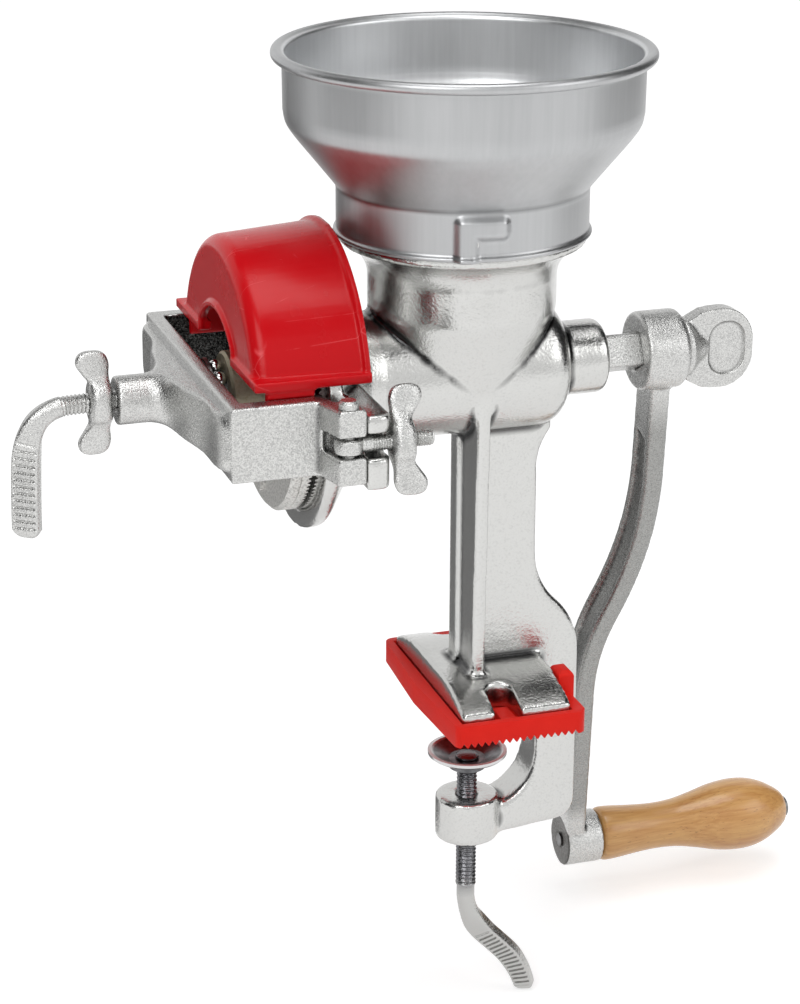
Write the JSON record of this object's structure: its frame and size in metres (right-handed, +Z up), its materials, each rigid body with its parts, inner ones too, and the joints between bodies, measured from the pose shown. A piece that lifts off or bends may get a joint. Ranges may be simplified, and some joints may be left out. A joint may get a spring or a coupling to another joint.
{
  "type": "grain mill",
  "caption": "Hand-cranked plate mill with a table clamp: round hopper over a feed screw, grinding plates under a red guard held by a yoke, bent crank arm with a wooden grip.",
  "frame": {"origin": "point on the flat underside of the base pad, on the axis of the clamp screw, where the mill stands on the table", "axes": "+Z up along the clamp screw, +X along the feed screw towards the crank, +Y away from the side that the near wing nut is on"},
  "size_m": [0.3664, 0.1767, 0.4057],
  "materials": {
    "tinned_casting": "bright hot-dip tin on sand-cast iron",
    "tinned_fittings": "grainy tin on cast iron",
    "plate_iron": "bare ground iron",
    "dark_steel": "oiled steel",
    "hopper_sheet": "satin tinned sheet",
    "red_cover_plastic": "glossy moulded",
    "red_pad_plastic": "matte moulded",
    "varnished_wood": "clear varnish"
  },
  "bodies": {
    "mill_body": {"body_casting": "tinned_casting", "base_pad": "red_pad_plastic", "fixed_plate": "plate_iron", "fixed_plate_screws": "dark_steel", "bayonet_pin": "dark_steel", "yoke": "tinned_fittings", "near_hinge_pin": "tinned_fittings", "far_hinge_pin": "tinned_fittings"},
    "thrust_bearing": {"thrust_washer": "dark_steel", "thrust_balls": "dark_steel"},
    "adjuster": {"adjusting_screw": "tinned_fittings"},
    "lock_nut": {"lock_wing_nut": "tinned_fittings"},
    "rotor": {"feed_screw": "tinned_casting", "drive_pin": "dark_steel", "plate_carrier": "tinned_fittings", "rotating_plate": "plate_iron", "carrier_screws": "dark_steel", "crank_arm": "tinned_fittings", "handle_bolt": "dark_steel"},
    "grip": {"handle_grip": "varnished_wood"},
    "thumb_screw": {"crank_thumb_screw": "tinned_fittings"},
    "near_bolt": {"near_eyebolt": "tinned_fittings"},
    "far_bolt": {"far_eyebolt": "tinned_fittings"},
    "near_nut": {"near_wing_nut": "tinned_fittings"},
    "far_nut": {"far_wing_nut": "tinned_fittings"},
    "bowl": {"hopper": "hopper_sheet"},
    "guard": {"guard_cover": "red_cover_plastic"},
    "clamp_foot": {"clamp_washer": "tinned_fittings"},
    "clamp_spindle": {"clamp_screw": "tinned_fittings"}
  },
  "joints": [
    {"name": "adjust_slide", "type": "slide", "parent": "mill_body", "child": "thrust_bearing", "axis": [1, 0, 0], "range_m": [-0.0003, 0.001]},
    {"name": "adjust_turn", "type": "hinge", "parent": "thrust_bearing", "child": "adjuster", "pos_m": [-0.12, 0, 0.14], "axis": [1, 0, 0], "range_deg": [-87, 289]},
    {"name": "crank_turn", "type": "hinge", "parent": "thrust_bearing", "child": "rotor", "pos_m": [0, 0, 0.14], "axis": [1, 0, 0], "continuous": true},
    {"name": "handle_spin", "type": "hinge", "parent": "rotor", "child": "grip", "pos_m": [0.13, 0.07522, -0.11233], "axis": [1, 0, 0], "continuous": true},
    {"name": "thumb_screw_turn", "type": "hinge", "parent": "rotor", "child": "thumb_screw", "pos_m": [0.09, 0, 0.14], "axis": [1, 0, 0], "range_deg": [-180, 180]},
    {"name": "lock_nut_turn", "type": "hinge", "parent": "mill_body", "child": "lock_nut", "pos_m": [-0.145, 0, 0.14], "axis": [1, 0, 0], "range_deg": [-90, 90]},
    {"name": "near_bolt_swing", "type": "hinge", "parent": "mill_body", "child": "near_bolt", "pos_m": [-0.0734, -0.0755, 0.14], "axis": [0, 0, 1], "range_deg": [-100, 0]},
    {"name": "far_bolt_swing", "type": "hinge", "parent": "mill_body", "child": "far_bolt", "pos_m": [-0.0734, 0.0755, 0.14], "axis": [0, 0, 1], "range_deg": [0, 100]},
    {"name": "near_nut_turn", "type": "hinge", "parent": "near_bolt", "child": "near_nut", "pos_m": [-0.05, -0.0755, 0.14], "axis": [1, 0, 0], "range_deg": [-90, 180]},
    {"name": "far_nut_turn", "type": "hinge", "parent": "far_bolt", "child": "far_nut", "pos_m": [-0.05, 0.0755, 0.14], "axis": [1, 0, 0], "range_deg": [-90, 180]},
    {"name": "hopper_lift", "type": "slide", "parent": "mill_body", "child": "bowl", "axis": [0, 0, 1], "range_m": [0, 0.03]},
    {"name": "guard_lift", "type": "slide", "parent": "mill_body", "child": "guard", "axis": [0, 0, 1], "range_m": [0, 0.005]},
    {"name": "clamp_slide", "type": "slide", "parent": "mill_body", "child": "clamp_foot", "axis": [0, 0, 1], "range_m": [-0.0105, 0.021]},
    {"name": "clamp_turn", "type": "hinge", "parent": "clamp_foot", "child": "clamp_spindle", "pos_m": [0, 0, -0.05], "axis": [0, 0, 1], "range_deg": [-2170, 4330]}
  ],
  "couplings": [
    {"joint": "adjust_turn", "follows": "adjust_slide", "rad_per_m": 5026.5},
    {"joint": "clamp_turn", "follows": "clamp_slide", "rad_per_m": 3590.4}
  ]
}
